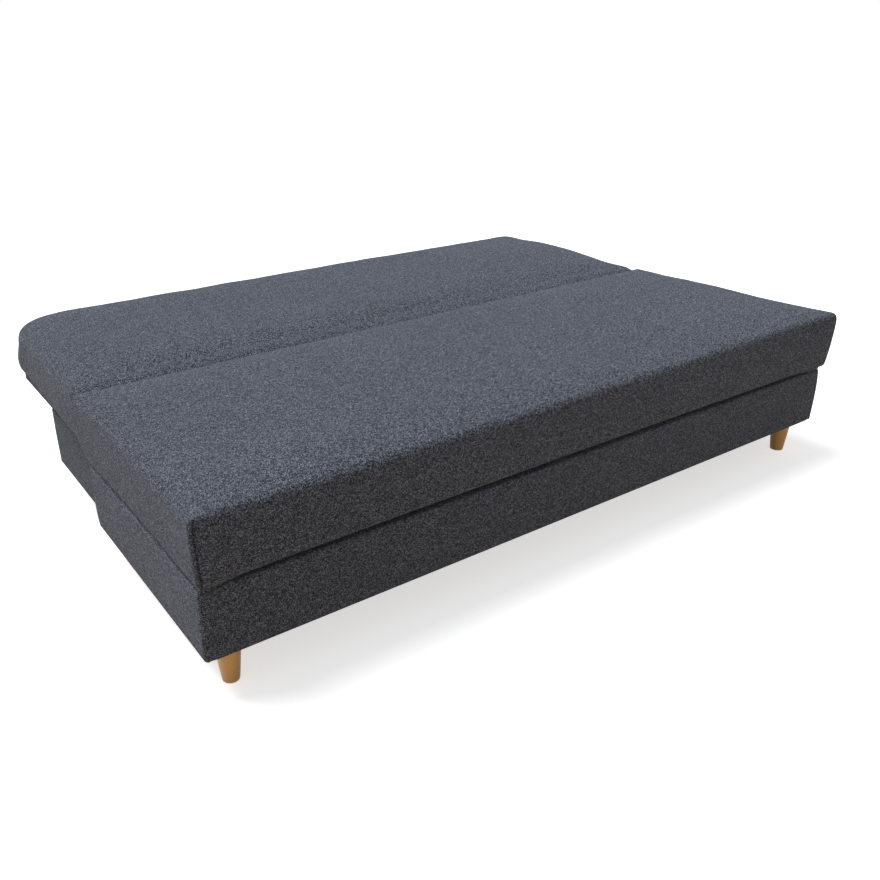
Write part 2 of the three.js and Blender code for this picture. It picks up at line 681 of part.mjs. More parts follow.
function addHinges() {
  for (const [hand, side] of [
    ["left", -1],
    ["right", 1],
  ]) {
    // A plate is placed by the face that has the lower X. This is where that face is when the plate's outer
    // face, towards the base's end, stands x from the middle.
    const lowFace = (x) => (side > 0 ? x - steelThickness : -x);
    const inwards = side > 0 ? Math.PI / 2 : -Math.PI / 2;

    const bracket = plateAcross(bracketShape(), steelThickness);
    add("base_bracket_" + hand, bracket, steel, lowFace(bracketX), creaseY, pivotZ);
    const seatArm = plateAcross(armShape(-1, []), steelThickness);
    add("seat_arm_" + hand, seatArm, steel, lowFace(seatArmX), creaseY, pivotZ);
    const backArm = plateAcross(armShape(1, rimPoints()), steelThickness);
    add("back_arm_" + hand, backArm, steel, lowFace(backArmX), creaseY, pivotZ);

    const pin = headedPin(pinRadius, pinHeadX - pinTipX, pinHeadRadius, pinHeadThickness);
    add("pivot_pin_" + hand, pin.rotateZ(inwards), zinc, side * pinHeadX, creaseY, pivotZ);
    const nut = new THREE.Shape(arcPoints(nutRadius, 0, 360, 6).slice(1));
    roundHole(nut, 0, 0, pinHole, pinSegments);
    const nutLow = side > 0 ? nutX - nutThickness : -nutX;
    add("pivot_nut_" + hand, plateAcross(nut, nutThickness), zinc, nutLow, creaseY, pivotZ);

    // The pawl turns on a pin that stands on the seat's arm and ends in a head
    const pawlY = creaseY - pawlPivotForward;
    const pawlZ = pivotZ - pawlPivotDrop;
    add("pawl_" + hand, plateAcross(pawlShape(), steelThickness), steel, lowFace(backArmX), pawlY, pawlZ);
    const headX = nutX - pawlPinHeadThickness;
    const pawlPin = headedPin(pawlPinRadius, backArmX - headX, pawlPinHeadRadius, pawlPinHeadThickness);
    add("pawl_pin_" + hand, pawlPin.rotateZ(-inwards), zinc, side * headX, pawlY, pawlZ);
  }
}

addBase();
addLegs();
for (const mattress of [seat, back]) {
  addFrame(mattress);
  addCoverAndFoam(mattress);
}
addHinges();

export default sofaBed;
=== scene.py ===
# Looks of the click clack sofa bed, laid flat: two sewn mattresses, the cloth of the storage base, turned
# legs, and materials for the boards, frames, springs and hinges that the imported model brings.
# Metres, +Z up, +Y towards the back mattress.
import json
import math

import bmesh
import bpy
import numpy as np
from mathutils import Euler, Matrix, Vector, noise


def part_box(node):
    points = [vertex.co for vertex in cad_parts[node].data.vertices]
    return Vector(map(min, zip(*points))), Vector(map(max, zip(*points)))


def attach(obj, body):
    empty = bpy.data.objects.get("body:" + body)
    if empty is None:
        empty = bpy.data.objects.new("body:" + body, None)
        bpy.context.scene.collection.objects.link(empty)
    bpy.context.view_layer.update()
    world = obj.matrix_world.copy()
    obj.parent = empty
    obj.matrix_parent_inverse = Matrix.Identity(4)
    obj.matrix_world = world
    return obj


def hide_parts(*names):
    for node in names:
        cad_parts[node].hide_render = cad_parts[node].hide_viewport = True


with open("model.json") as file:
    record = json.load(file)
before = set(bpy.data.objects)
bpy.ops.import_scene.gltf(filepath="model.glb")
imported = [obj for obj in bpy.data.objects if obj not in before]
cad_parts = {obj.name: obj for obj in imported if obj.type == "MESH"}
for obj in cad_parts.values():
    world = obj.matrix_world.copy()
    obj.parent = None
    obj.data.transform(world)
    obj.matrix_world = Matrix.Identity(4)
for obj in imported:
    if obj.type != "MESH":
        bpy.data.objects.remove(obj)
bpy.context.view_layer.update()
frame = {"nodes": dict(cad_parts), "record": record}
slot_of = {part["node"]: part["material_slot"] for part in frame["record"]["subparts"]}

# Camera
CAMERA_PLACE = (-1.4359, -2.046, 1.1982)
CAMERA_TURN = (66.066, 1.104, -34.285)  # degrees
CAMERA_LENS = 36.57  # mm, on a sensor of SENSOR mm
SENSOR = 36
CAMERA_SHIFT = (0.0538, -0.0173)

# The mattresses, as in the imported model
BED_LENGTH = 1.95
SEAT_DEPTH = 0.73
BACK_DEPTH = 0.70
UNDERSIDE = 0.260
HEIGHT = 0.163
PIVOT_BELOW_EDGE = 0.02
CREASE_GAP = 0.001
DRAW_IN = 0.005  # how far the middle of each side comes in
CORNER_LENGTH = 0.15  # over which a corner's form goes over into the side's
END_BULGE = 0.003  # how far the ends swell
CREASE_FOOT = 0.004  # rounding at the foot of the crease side
CREASE_FOOT_CUT = 0.3  # where that rounding passes, as a share of it
LIP_TURN = math.radians(62)  # how far the wall turns under before its lower edge
CREASE_Y = (SEAT_DEPTH - BACK_DEPTH) / 2
PIVOT_Z = UNDERSIDE + HEIGHT - PIVOT_BELOW_EDGE

# What the cloth adds
HEM_RECESS = 0.006  # how far the underside steps up inside the hem, over the bottom panel
PANEL_GAP = 0.0005  # round the bottom panel
LIP_CRISPNESS = 0.7
END_BLEND = 0.10  # along an end, from the outer side's form to the end's own
CREASE_BLEND = 0.08  # from the crease side's heights to the outer side's
ARCH_REACH = 0.03  # how far the arch of the lip reaches along the crease
ARCH_RECESS_LENGTH = 0.09
FRAME_ROOM = 0.0008  # between a frame and the cloth
FRAME_CORNER_ROOM = 0.012  # past the outer rail
FRAME_TOP = 0.050  # above the underside
FRAME_CORNER_SLOPE = 1.7  # how fast the cloth's corner comes in past the bottom panel's
CORNER_CHANGE = 0.08  # the height over which the corner radius changes
WAVE_SIZE = 0.11  # unevenness of stretched cloth over foam
WAVE_DEPTH = 0.0016
FINE_WAVE = (0.35, 0.3)  # size and depth of a finer wave on it, as shares of these
PUCKER_REACH = 0.32  # from the outer corners
PUCKER_WIDTH = 0.016
PUCKER_HEIGHT = 0.16
SMOOTH_AT_CREASE = (0.010, 0.060)  # no unevenness up to the first distance, all of it this much further on
SMOOTH_AT_HEM = (0.004, 0.030)
SEAM_WIDTH = 0.0022
SEAM_DEPTH = 0.0070
IN_GROUP = 0.99  # least weight of a point on a seam, whose neighbours have about half

# Cells of a mattress's grid
ALONG = 130
ACROSS = 56
TOP_ROWS = 5  # round the top's edge
WALL_ROWS = 7
TURN_ROWS = 3  # from the wall under to the lip
LIP = TOP_ROWS + WALL_ROWS + TURN_ROWS  # the row of the lip
HIGH = LIP + 2
SEAM_TOP = 2  # the row where the corner seams start
HEM_CELLS = 2  # from the hem in to the raised underside
BROW_POINTS = 10  # of the crease side's slope

# Each mattress's own form, in metres where nothing else is said:
#   towards        the side of the crease on which it lies
#   fold           angle of the slope above the pins, where the mattress folds up against the other one
#   upper          rounding of the top's edge
#   lower          rounding of the wall above the lip
#   lip            height of the lip above the hem
#   undercut       how far the lip stands out over the hem
#   arch           how much the lip rises at the ends of the crease, and over what length
#   arch_recess    how far the hem comes in there
#   step           how much shorter each end is at the crease
#   shoulder       rounding of the top's edge at the crease
#   corner_radius  of the outer corners, seen from above, at the left and the right end
#   low_radius     the same from the frame's height down
#   corner_cells   cells round each outer corner
#   corner_share   what is left of the upper and lower roundings at the corners
#   bulge          how far the outer side swells
#   flare          how far the outer corners stand out at the top
#   lean           how far the outer side is shifted to the right
#   crown          how much higher the top's middle is
#   crown_powers   how late the crown falls off, along and across
#   rise           how much higher the top is at the crease, halfway and at the outer side, each for the left
#                  end, the middle and the right end
#   pucker         depth of the puckers at the outer corners
# "lower", "lip" and "undercut" are each for the outer side and for the ends.
SEAT = {
    "name": "seat",
    "towards": -1,
    "depth": SEAT_DEPTH,
    "fold": math.radians(30),
    "upper": 0.022,
    "lower": (0.010, 0.006),
    "lip": (0.013, 0.003),
    "undercut": (0.018, 0.004),
    "arch": (0.045, 0.050),
    "arch_recess": 0.022,
    "step": 0.0,
    "shoulder": 0.007,
    "corner_radius": (0.008, 0.006),
    "low_radius": (0.008, 0.006),
    "corner_cells": 3,
    "corner_share": 0.5,
    "bulge": 0.003,
    "flare": 0.010,
    "lean": 0.0,
    "crown": 0.015,
    "crown_powers": (14, 7),
    "rise": ((0, 0, 0), (0, 0, 0.010), (0, 0, 0.010)),
    "pucker": 0.0008,
}
BACK = {
    "name": "back",
    "towards": 1,
    "depth": BACK_DEPTH,
    "fold": math.radians(60),
    "upper": 0.032,
    "lower": (0.018, 0.018),
    "lip": (0.029, 0.029),
    "undercut": (0.016, 0.016),
    "arch": (0.003, 0.16),
    "arch_recess": 0.0,
    "step": 0.004,
    "shoulder": 0.026,
    "corner_radius": (0.155, 0.04),
    "low_radius": (0.085, 0.04),
    "corner_cells": 10,
    "corner_share": 0.8,
    "bulge": 0.008,
    "flare": 0.0,
    "lean": 0.016,
    "crown": 0.020,
    "crown_powers": (12, 7),
    "rise": ((0, 0, 0), (0.006, 0.006, 0.013), (0.010, 0.008, 0)),
    "pucker": 0.0022,
}

# The base's cloth
SKIRT_PADDING = 0.005
SKIRT_SWELL = 0.0030
SKIRT_SEAM = 0.0025  # depth of its corner seams
SKIRT_SEAM_REACH = 0.004
SKIRT_PROUD = 0.003  # of the padding on the ends
SKIRT_SHOULDER = 0.008
SKIRT_SPACING = 0.018
SKIRT_EDGE = 0.001  # bevel along the foot of both cloths
SKIRT_ROWS = 13  # up the straight part of both
SHOULDER_ROWS = 5
FLAP_DEPTH = 0.030  # how far the cloth lies in over the boards' tops
REAR_FLAP_DEPTH = 0.0175
FLAP_THICKNESS = 0.0003
FLAP_GAP = 0.0001
FLAP_SPACING = 0.03
REAR_CLOTH = 0.0015
REAR_SWELL = 0.0006
REAR_BEND = 0.003
REAR_SPACING = 0.03
CORNER_BEND = 0.010
BEND_POINTS = 7

# The cloth over the hinges
WRAP_OVER_EYE = 0.0005
WRAP_THICKNESS = 0.0008
WRAP_REACH = (math.radians(-65), math.radians(80))  # from straight up, to the seat's side and the back's
WRAP_POINTS = 24  # along its arc
POCKET_POINTS = 29
POCKET_ROOM = 0.0008
POCKET_DEPTH = 0.047
HINGE_SIDE_ROOM = 0.003

LEG_SEGMENTS = 64
LEG_BEVEL = 0.002
LEG_EDGE_STEPS = 4
LEG_ROWS = 8
LEG_TAPER = 0.638  # foot radius over top radius


def lerp(a, b, t):
    return a + (b - a) * t


def ease(t):
    t = min(1.0, max(0.0, t))
    return t * t * (3 - 2 * t)


def hump(t):
    """0 at both ends of 0 to 1 and 1 in the middle."""
    return 1 - (2 * t - 1) ** 2


# Camera, light and floor


def link(obj):
    bpy.context.collection.objects.link(obj)
    return obj


def make_camera():
    camera = link(bpy.data.objects.new("camera", bpy.data.cameras.new("camera")))
    camera.location = CAMERA_PLACE
    camera.rotation_euler = Euler([math.radians(angle) for angle in CAMERA_TURN])
    camera.data.sensor_width = SENSOR
    camera.data.lens = CAMERA_LENS
    camera.data.shift_x, camera.data.shift_y = CAMERA_SHIFT
    bpy.context.scene.camera = camera
    bpy.context.scene.view_settings.view_transform = "Standard"


def make_light(name, place, spread, level, color):
    """A soft lamp far off in the direction of place. A white surface that faces it takes level of white."""
    light = bpy.data.lights.new(name, "SUN")
    light.angle = math.radians(spread)
    light.energy = level * math.pi
    light.color = color
    lamp = link(bpy.data.objects.new(name, light))
    lamp.location = place
    lamp.rotation_euler = (-Vector(place)).to_track_quat("-Z", "Y").to_euler()


def make_lights():
    make_light("key", place=(-0.98, 1.05, 3.0), spread=30, level=0.84, color=(0.97, 0.985, 1.0))
    make_light("fill", place=(0.6, -4.0, 0.3), spread=50, level=0.045, color=(1.0, 0.62, 0.34))


def seen_ray(tree):
    """1 for what the camera sees, straight or by a mirror or glass, and 0 for light on the object."""
    path = tree.nodes.new("ShaderNodeLightPath")
    kinds = [path.outputs[f"Is {kind} Ray"] for kind in ("Camera", "Glossy", "Transmission")]
    return math_node(tree, "MAXIMUM", math_node(tree, "MAXIMUM", kinds[0], kinds[1]), kinds[2])


def make_world():
    """Soft light from all round, and plain white where the camera sees past the floor."""
    world = bpy.data.worlds.new("studio")
    bpy.context.scene.world = world
    world.use_nodes = True
    tree = world.node_tree
    tree.nodes.clear()
    lighting = tree.nodes.new("ShaderNodeBackground")
    lighting.inputs["Color"].default_value = (0.93, 0.97, 1.0, 1)
    lighting.inputs["Strength"].default_value = 0.28
    backdrop = tree.nodes.new("ShaderNodeBackground")
    backdrop.inputs["Color"].default_value = (1, 1, 1, 1)
    mix = tree.nodes.new("ShaderNodeMixShader")
    tree.links.new(seen_ray(tree), mix.inputs["Fac"])
    tree.links.new(lighting.outputs[0], mix.inputs[1])
    tree.links.new(backdrop.outputs[0], mix.inputs[2])
    out = tree.nodes.new("ShaderNodeOutputWorld")
    tree.links.new(mix.outputs[0], out.inputs["Surface"])


def make_floor():
    """A pale warm floor. To the camera it is white, with a faint shadow of the sofa."""
    reach = 40
    glow = 0.62  # brings the floor's own lit shade up to white for the camera
    corners = [(-reach, -reach, 0), (reach, -reach, 0), (reach, reach, 0), (-reach, reach, 0)]
    mesh = bpy.data.meshes.new("floor")
    mesh.from_pydata(corners, [], [(0, 1, 2, 3)])
    material, tree, shader = new_material("pale_floor")
    seen = seen_ray(tree)
    color = ramp(tree, seen, [(0, (0.46, 0.35, 0.25)), (1, (0.92, 0.92, 0.92))])
    tree.links.new(color, shader.inputs["Base Color"])
    shader.inputs["Roughness"].default_value = 0.95
    shader.inputs["Specular IOR Level"].default_value = 0.0
    shader.inputs["Emission Color"].default_value = (1, 1, 1, 1)
    tree.links.new(math_node(tree, "MULTIPLY", seen, glow), shader.inputs["Emission Strength"])
    mesh.materials.append(material)
    link(bpy.data.objects.new("floor", mesh))


# Nodes of materials


def new_material(name):
    material = bpy.data.materials.new(name)
    material.use_nodes = True
    return material, material.node_tree, material.node_tree.nodes["Principled BSDF"]


def plug(tree, socket, value):
    """Sets a socket to a number, or joins it to another node's output."""
    if isinstance(value, (int, float)):
        socket.default_value = value
    else:
        tree.links.new(value, socket)


def math_node(tree, operation, *values, clamp=False):
    node = tree.nodes.new("ShaderNodeMath")
    node.operation = operation
    node.use_clamp = clamp
    for socket, value in zip(node.inputs, values):
        plug(tree, socket, value)
    return node.outputs[0]


def stretched(tree, vector, scales):
    node = tree.nodes.new("ShaderNodeVectorMath")
    node.operation = "MULTIPLY"
    tree.links.new(vector, node.inputs[0])
    node.inputs[1].default_value = scales
    return node.outputs[0]


def noise_value(tree, vector, scale=1.0, detail=2.0, roughness=0.5):
    node = tree.nodes.new("ShaderNodeTexNoise")
    tree.links.new(vector, node.inputs["Vector"])
    node.inputs["Scale"].default_value = scale
    node.inputs["Detail"].default_value = detail
    node.inputs["Roughness"].default_value = roughness
    return node.outputs["Fac"]


def ramp(tree, value, stops):
    node = tree.nodes.new("ShaderNodeValToRGB")
    while len(node.color_ramp.elements) < len(stops):
        node.color_ramp.elements.new(0.5)
    for element, (place, color) in zip(node.color_ramp.elements, stops):
        element.position = place
        element.color = (*color, 1)
    tree.links.new(value, node.inputs["Fac"])
    return node.outputs["Color"]


def mix_value(tree, share, a, b):
    node = tree.nodes.new("ShaderNodeMix")
    node.data_type = "FLOAT"
    for socket, value in zip((node.inputs[0], node.inputs[2], node.inputs[3]), (share, a, b)):
        plug(tree, socket, value)
    return node.outputs[0]


def scaled_color(tree, color, value):
    node = tree.nodes.new("ShaderNodeVectorMath")
    node.operation = "SCALE"
    tree.links.new(color, node.inputs[0])
    tree.links.new(value, node.inputs["Scale"])
    return node.outputs[0]


def bump(tree, shader, height, distance, strength):
    node = tree.nodes.new("ShaderNodeBump")
    node.inputs["Distance"].default_value = distance
    node.inputs["Strength"].default_value = strength
    tree.links.new(height, node.inputs["Height"])
    tree.links.new(node.outputs[0], shader.inputs["Normal"])


def object_place(tree):
    return tree.nodes.new("ShaderNodeTexCoord").outputs["Object"]


def roughness_by(tree, shader, value, least, more):
    """Roughness from least, where the value is 0, to more above it, where it is 1."""
    tree.links.new(math_node(tree, "MULTIPLY_ADD", value, more, least), shader.inputs["Roughness"])


# Materials


def melange_cloth(name, lightness):
    """Plain weave of dark, mid and light yarns of uneven thickness. The map "cloth" is in metres."""
    yarn = 0.0015
    slub_length = 0.0045
    yarn_step = 7.31  # moves each yarn to its own line of the noise
    sharpness = 4.0  # of the change from the yarns one way to those the other way
    fleck_share, cloud_share = 0.40, 0.10
    darker = 0.25  # takes back what the flecks and clouds add
    worn_range = (0.88, 0.24)  # least lightness, and how much more
    material, tree, shader = new_material(name)
    node = tree.nodes.new("ShaderNodeUVMap")
    node.uv_map = "cloth"
    place = node.outputs[0]
    split = tree.nodes.new("ShaderNodeSeparateXYZ")
    tree.links.new(place, split.inputs[0])
    waves, threads = [], []
    for along, across in ((1, 0), (0, 1)):
        count = math_node(tree, "DIVIDE", split.outputs[across], yarn)
        waves.append(math_node(tree, "SINE", math_node(tree, "MULTIPLY", count, math.pi)))
        number = math_node(tree, "FLOOR", count)
        line = tree.nodes.new("ShaderNodeCombineXYZ")
        plug(tree, line.inputs[0], math_node(tree, "DIVIDE", split.outputs[along], slub_length))
        plug(tree, line.inputs[1], math_node(tree, "MULTIPLY", number, yarn_step))
        plug(tree, line.inputs[2], across * yarn_step)
        threads.append(noise_value(tree, line.outputs[0], detail=1.0, roughness=0.6))
    weave = math_node(tree, "MULTIPLY", *waves)
    over = math_node(tree, "MULTIPLY_ADD", weave, sharpness, 0.5, clamp=True)
    yarns = mix_value(tree, over, *threads)
    flecks = noise_value(tree, place, scale=420, detail=2.0, roughness=0.7)
    clouds = noise_value(tree, place, scale=90, detail=2.0, roughness=0.6)
    shade = math_node(tree, "MULTIPLY_ADD", flecks, fleck_share, yarns)
    shade = math_node(tree, "MULTIPLY_ADD", clouds, cloud_share, shade)
    shade = math_node(tree, "SUBTRACT", shade, darker)
    stops = [
        (0.36, (0.006, 0.006, 0.007)),
        (0.46, (0.030, 0.033, 0.042)),
        (0.54, (0.080, 0.089, 0.113)),
        (0.63, (0.300, 0.334, 0.408)),
    ]
    worn = noise_value(tree, place, scale=3.0, detail=3.0)
    least, more = (value * lightness for value in worn_range)
    worn = math_node(tree, "MULTIPLY_ADD", worn, more, least)
    tree.links.new(scaled_color(tree, ramp(tree, shade, stops), worn), shader.inputs["Base Color"])
    height = math_node(tree, "MULTIPLY_ADD", math_node(tree, "ABSOLUTE", weave), 0.5, yarns)
    bump(tree, shader, height, distance=0.0009, strength=0.8)
    shader.inputs["Roughness"].default_value = 0.95
    shader.inputs["Specular IOR Level"].default_value = 0.2
    shader.inputs["Sheen Weight"].default_value = 0.10
    shader.inputs["Sheen Roughness"].default_value = 0.6
    shader.inputs["Sheen Tint"].default_value = (0.75, 0.82, 1.0, 1)
    return material


def wood(name, dark, light, ring_pitch, roughness, pore_depth, grain_axis):
    """Planed or turned wood, with growth rings and fine pores drawn out along grain_axis."""
    material, tree, shader = new_material(name)
    lengthwise = [1.0, 1.0, 1.0]
    lengthwise[grain_axis] = 0.06
    along = stretched(tree, object_place(tree), lengthwise)
    rings = tree.nodes.new("ShaderNodeTexWave")
    rings.wave_type = "BANDS"
    rings.bands_direction = "DIAGONAL"
    rings.inputs["Scale"].default_value = 0.05 / ring_pitch
    rings.inputs["Distortion"].default_value = 3.5
    rings.inputs["Detail"].default_value = 2.0
    rings.inputs["Detail Scale"].default_value = 1.2
    tree.links.new(along, rings.inputs["Vector"])
    pores = noise_value(tree, along, scale=900.0)
    streaks = noise_value(tree, along, scale=9.0, detail=3.0)
    tone = mix_value(tree, share=0.45, a=rings.outputs["Fac"], b=streaks)
    tone = mix_value(tree, share=0.22, a=tone, b=pores)
    tree.links.new(ramp(tree, tone, [(0.25, dark), (0.75, light)]), shader.inputs["Base Color"])
    bump(tree, shader, pores, distance=pore_depth, strength=0.5)
    roughness_by(tree, shader, pores, least=roughness - 0.07, more=0.15)
    return material


def pressed_board(name, colors, chip, roughness):
    """Chips or fibres pressed flat, each a little different in colour."""
    material, tree, shader = new_material(name)
    place = object_place(tree)
    cells = tree.nodes.new("ShaderNodeTexVoronoi")
    cells.inputs["Scale"].default_value = 1 / chip
    tree.links.new(stretched(tree, place, (0.35, 1.0, 0.8)), cells.inputs["Vector"])
    chips = tree.nodes.new("ShaderNodeSeparateColor")
    tree.links.new(cells.outputs["Color"], chips.inputs[0])
    fine = noise_value(tree, place, scale=1.6 / chip, detail=4.0, roughness=0.7)
    tone = mix_value(tree, share=0.5, a=chips.outputs[0], b=fine)
    last = len(colors) - 1
    stops = [(0.25 + 0.5 * n / last, color) for n, color in enumerate(colors)]
    tree.links.new(ramp(tree, tone, stops), shader.inputs["Base Color"])
    bump(tree, shader, tone, distance=chip * 0.1, strength=0.6)
    roughness_by(tree, shader, fine, least=roughness - 0.1, more=0.2)
    return material


def metal(name, color, rubbed, roughness, metallic, marks_per_metre):
    """Painted, plated or drawn metal, with fine marks and a few rubbed patches."""
    material, tree, shader = new_material(name)
    place = object_place(tree)
    marks = noise_value(tree, stretched(tree, place, marks_per_metre), detail=3.0, roughness=0.6)
    patches = noise_value(tree, place, scale=38.0, detail=4.0, roughness=0.65)
    tone = mix_value(tree, share=0.6, a=marks, b=patches)
    tree.links.new(ramp(tree, tone, [(0.45, color), (0.72, rubbed)]), shader.inputs["Base Color"])
    roughness_by(tree, shader, marks, least=roughness - 0.12, more=0.25)
    shader.inputs["Metallic"].default_value = metallic
    bump(tree, shader, marks, distance=0.00008, strength=0.4)
    return material


def make_materials():
    chip_tones = [(0.30, 0.19, 0.09), (0.46, 0.31, 0.16), (0.60, 0.44, 0.25)]
    fibre_tones = [(0.15, 0.085, 0.042), (0.24, 0.14, 0.07)]
    foam_tones = [(0.52, 0.46, 0.30), (0.66, 0.60, 0.42)]
    pine_tones = (0.50, 0.31, 0.14), (0.74, 0.55, 0.32)
    beech_tones = (0.58, 0.27, 0.06), (0.88, 0.50, 0.14)
    black_tones = (0.022, 0.023, 0.025), (0.055, 0.055, 0.058)
    zinc_tones = (0.55, 0.57, 0.60), (0.70, 0.71, 0.72)
    dull_tones = (0.26, 0.27, 0.28), (0.42, 0.43, 0.44)
    pine = {"ring_pitch": 0.006, "roughness": 0.65, "pore_depth": 0.0003, "grain_axis": 0}
    beech = {"ring_pitch": 0.004, "roughness": 0.38, "pore_depth": 0.0001, "grain_axis": 2}
    black = {"roughness": 0.45, "metallic": 0.3, "marks_per_metre": (60, 60, 240)}
    zinc = {"roughness": 0.35, "metallic": 1.0, "marks_per_metre": (900, 120, 120)}
    drawn = {"roughness": 0.4, "metallic": 1.0, "marks_per_metre": (200, 900, 200)}
    return {
        "upholstery": melange_cloth("melange_cloth", lightness=1.0),
        # A darker copy of the cloth: partly the rear's plainer cloth, partly painted shade of the set-in rear
        # base and of the slot under the seat's lip.
        "darker_cloth_painted_shade": melange_cloth("darker_cloth_painted_shade", lightness=0.8),
        "chipboard": pressed_board("chipboard", chip_tones, chip=0.005, roughness=0.8),
        "fibreboard": pressed_board("fibreboard", fibre_tones, chip=0.0012, roughness=0.72),
        "pine": wood("pine", *pine_tones, **pine),
        "beech": wood("beech", *beech_tones, **beech),
        "foam": pressed_board("foam", foam_tones, chip=0.0015, roughness=0.9),
        "black_steel": metal("black_steel", *black_tones, **black),
        "zinc_steel": metal("zinc_steel", *zinc_tones, **zinc),
        "spring_steel": metal("spring_steel", *dull_tones, **drawn),
    }


# Helpers for pieces


def make_piece(name, mesh, body, slot, *nodes, look=None):
    """Links a piece that rides on body and stands for the CAD nodes. It has the slot's material or look's."""
    piece = link(bpy.data.objects.new(name, mesh))
    mesh.materials.append(materials[look or slot])
    mesh.shade_smooth()
    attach(piece, body)
    if nodes:
        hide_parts(*nodes)
    return piece


def mesh_of(name, points, faces, maps):
    """A mesh with its cloth map, a pair of metres for each corner of each face."""
    mesh = bpy.data.meshes.new(name)
    mesh.from_pydata(points, [], faces)
    if maps:
        layer = mesh.uv_layers.new(name="cloth")
        layer.data.foreach_set("uv", np.array(maps, dtype=np.float32).ravel())
    return mesh


def joined(meshes):
    """One mesh of all of them."""
    whole = bmesh.new()
    for mesh in meshes:
        whole.from_mesh(mesh)
    whole.to_mesh(meshes[0])
    whole.free()
    return meshes[0]


def apply_modifiers(piece):
    """Keeps the evaluated mesh in place of the piece's own, and drops its modifiers."""
    graph = bpy.context.evaluated_depsgraph_get()
    made = bpy.data.meshes.new_from_object(piece.evaluated_get(graph), depsgraph=graph)
    piece.modifiers.clear()
    old = piece.data
    made.name = old.name
    piece.data = made
    bpy.data.meshes.remove(old)


def coordinates(mesh):
    flat = np.empty(len(mesh.vertices) * 3, dtype=np.float32)
    mesh.vertices.foreach_get("co", flat)
    return flat.reshape(-1, 3)


# The mattresses


def resampled(path, cells):
    """Points at even steps along a path, and the length along it to each."""
    points = np.array(path)
    along = np.concatenate([[0], np.cumsum(np.hypot(*np.diff(points, axis=0).T))])
    wanted = np.linspace(0, along[-1], cells + 1)
    columns = [np.interp(wanted, along, points[:, axis]) for axis in (0, 1)]
    return np.column_stack(columns), wanted


def outer_path(mattress, side):
    """Inset and height down an outer side, 0, or an end, 1, round a crisp lip, to the hem, and the length."""
    upper = mattress["upper"]
    lower, lip, undercut = (mattress[name][side] for name in ("lower", "lip", "undercut"))
    path = []
    for angle in np.linspace(0, math.pi / 2, TOP_ROWS + 1):
        path.append((upper * (1 - math.sin(angle)), HEIGHT - upper * (1 - math.cos(angle))))
    foot = lip + lower * math.sin(LIP_TURN)
    for height in np.linspace(HEIGHT - upper, foot, WALL_ROWS + 1)[1:]:
        path.append((0, height))
    for angle in np.linspace(0, LIP_TURN, TURN_ROWS + 1)[1:]:
        path.append((lower * (1 - math.cos(angle)), foot - lower * math.sin(angle)))
    under = path[-1][0] + undercut
    path.append((under, lip))
    path.append((under, 0))
    path = np.array(path)
    steps = np.hypot(*np.diff(path, axis=0).T)
    return path, np.concatenate([[0], np.cumsum(steps)])


def crease_path(mattress):
    """Distance from the crease and height down the crease side, which slopes back above the pins."""
    near = CREASE_GAP / 2
    fold = PIVOT_BELOW_EDGE * math.tan(mattress["fold"])
    soft = mattress["shoulder"]
    slope = math.hypot(fold, PIVOT_BELOW_EDGE)
    brow = []
    for t in np.linspace(0, 1, BROW_POINTS):
        flat = lerp(soft, 0, t)
        steep = soft * t
        out = lerp(near + fold + flat, near + fold * (1 - steep / slope), t)
        brow.append((out, lerp(HEIGHT, HEIGHT - PIVOT_BELOW_EDGE * steep / slope, t)))
    wall = [(near, HEIGHT - PIVOT_BELOW_EDGE), (near, CREASE_FOOT)]
    cut = CREASE_FOOT * CREASE_FOOT_CUT
    foot = [(near + cut, cut), (near + CREASE_FOOT, 0)]
    return resampled(brow + wall + foot, HIGH)


def risen(mattress, u, v):
    """The mattress's rise at u along it and v across it, smooth between the places of its table."""
    table = np.array(mattress["rise"])
    a, b = min(int(v * 2), 1), min(int(u * 2), 1)
    across, along = ease(v * 2 - a), ease(u * 2 - b)
    left, right = (lerp(table[a][side], table[a + 1][side], across) for side in (b, b + 1))
    return lerp(left, right, along)


def within(i, j, cells):
    """Whether a point of the underside lies at least so many cells in from the hem."""
    return cells <= i <= ALONG - cells and cells <= j <= ACROSS - cells


def graded(cells):
    """Places from 0 to 1, more than twice as close at the ends as in the middle."""
    t = np.linspace(0, 1, cells + 1)
    return 0.5 * (t + 0.5 * (1 - np.cos(np.pi * t)))


def graded_to_corner(mattress):
    """Places from the crease, 0, to the outer side, 1, at even angles round the outer corners."""
    radius = max(mattress["corner_radius"]) / mattress["depth"]
    cells = mattress["corner_cells"]
    straight = graded(ACROSS - cells) * (1 - radius)
    angles = np.linspace(0, math.pi / 2, cells + 1)[1:]
    return np.concatenate([straight, 1 - radius * (1 - np.sin(angles))])


